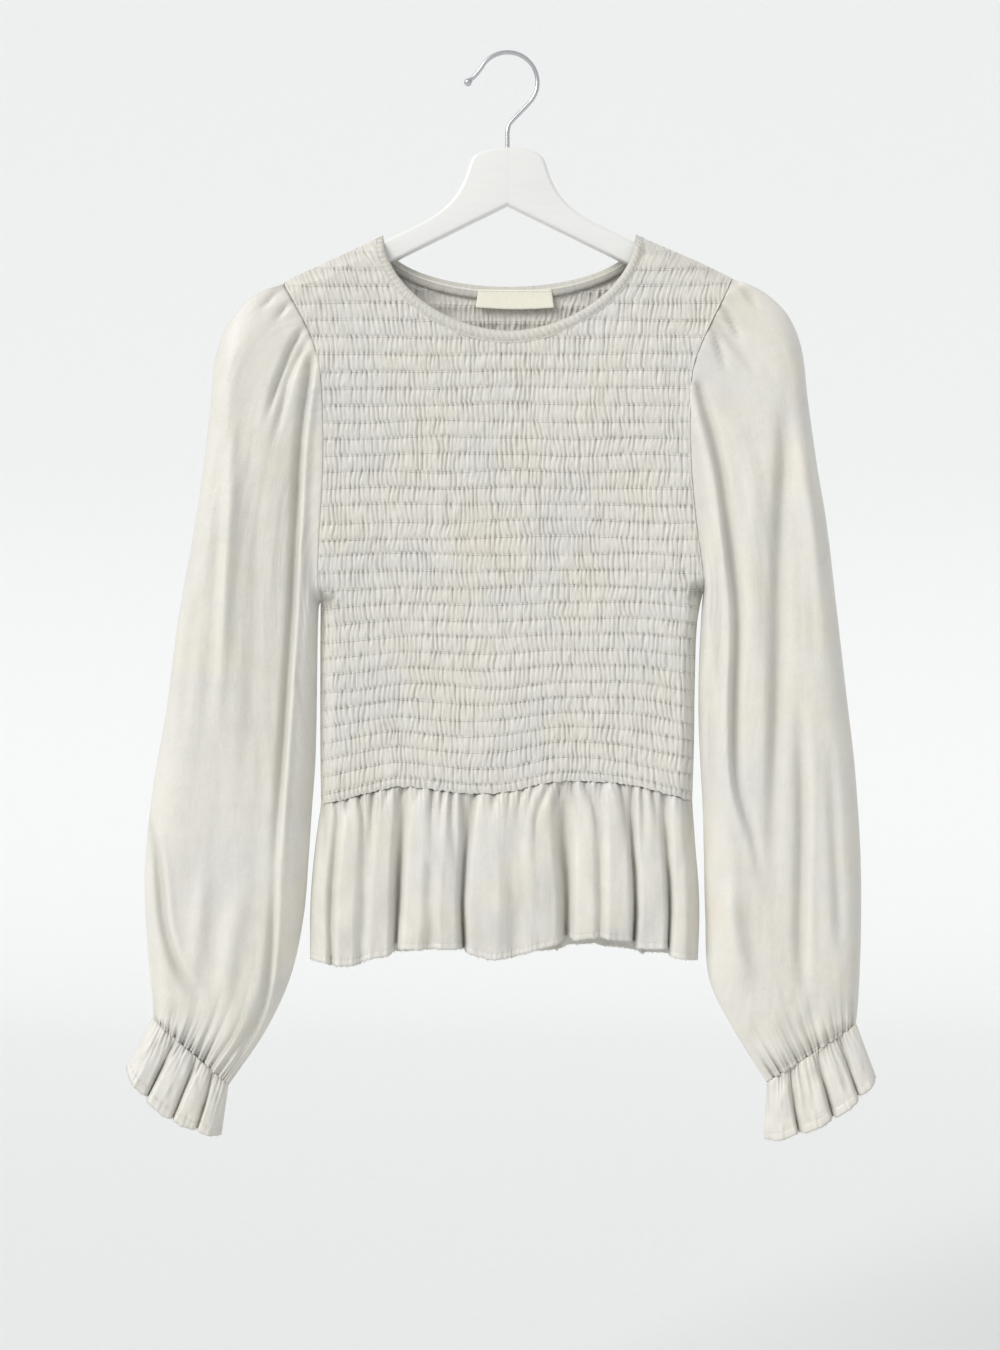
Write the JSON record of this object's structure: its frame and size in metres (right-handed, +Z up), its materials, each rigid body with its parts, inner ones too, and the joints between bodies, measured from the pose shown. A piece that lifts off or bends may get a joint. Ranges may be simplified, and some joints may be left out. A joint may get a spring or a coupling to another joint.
{
  "type": "satin blouse on a hanger",
  "caption": "Long-sleeved satin blouse with a smocked body, gathered sleeves, wrist ruffles and a peplum, hanging flat from a white wooden hanger.",
  "frame": {"origin": "top of the inside of the hanger's hook, where a peg or rail carries it", "axes": "+Z up, the garment's front faces -Y, +X to a viewer's right"},
  "size_m": [0.584, 0.0428, 0.8484],
  "materials": {
    "satin": "washed satin, soft sheen",
    "satin_binding": "washed satin, folded and stitched",
    "label_tape": "matt woven tape",
    "white_paint": "white lacquer, satin",
    "steel": "bright wire"
  },
  "bodies": {
    "root": {"bodice_front": "satin", "bodice_back": "satin", "neck_binding": "satin_binding", "neck_label": "label_tape", "sleeve_left": "satin", "sleeve_right": "satin", "cuff_ruffle_left": "satin", "cuff_ruffle_right": "satin", "peplum_front": "satin", "peplum_back": "satin", "hanger_arm_left": "white_paint", "hanger_arm_right": "white_paint", "hanger_hook": "steel"}
  },
  "joints": []
}
